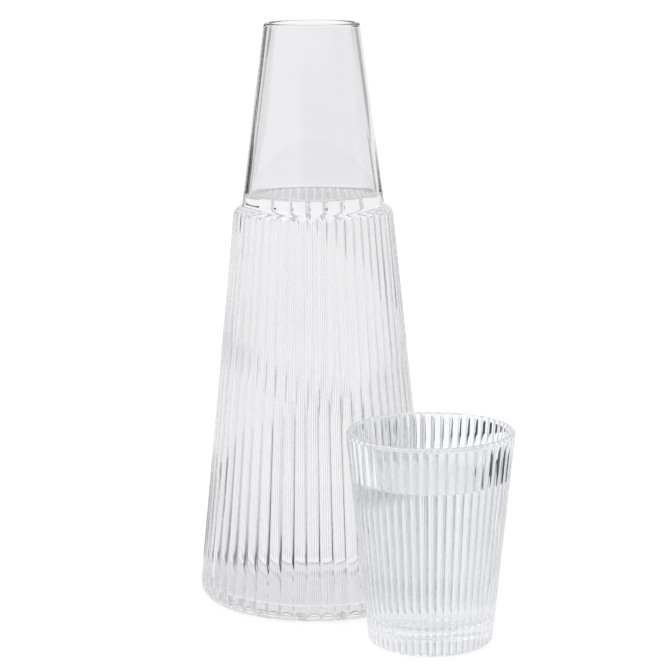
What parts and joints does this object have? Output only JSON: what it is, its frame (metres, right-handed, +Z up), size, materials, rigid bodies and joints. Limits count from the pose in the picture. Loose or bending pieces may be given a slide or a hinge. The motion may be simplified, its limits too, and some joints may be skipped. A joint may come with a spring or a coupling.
{
  "type": "bedside carafe with tumbler",
  "caption": "Clear reeded glass carafe with a smooth tapering neck, and a matching tumbler that fits upside down over the neck.",
  "frame": {"origin": "centre of the carafe's foot, on the table", "axes": "+Z up along the carafe's axis, -Y towards the viewer of the picture, +X to the viewer's right; the tumbler stands to the front right"},
  "size_m": [0.1433, 0.169, 0.27],
  "materials": {
    "clear_glass": "polished clear"
  },
  "bodies": {
    "carafe": {"carafe": "clear_glass"},
    "tumbler": {"tumbler": "clear_glass"}
  },
  "joints": [
    {"name": "tumbler_lift", "type": "slide", "parent": "carafe", "child": "tumbler", "axis": [0, 0, 1], "range_m": [0, 0.3]}
  ]
}
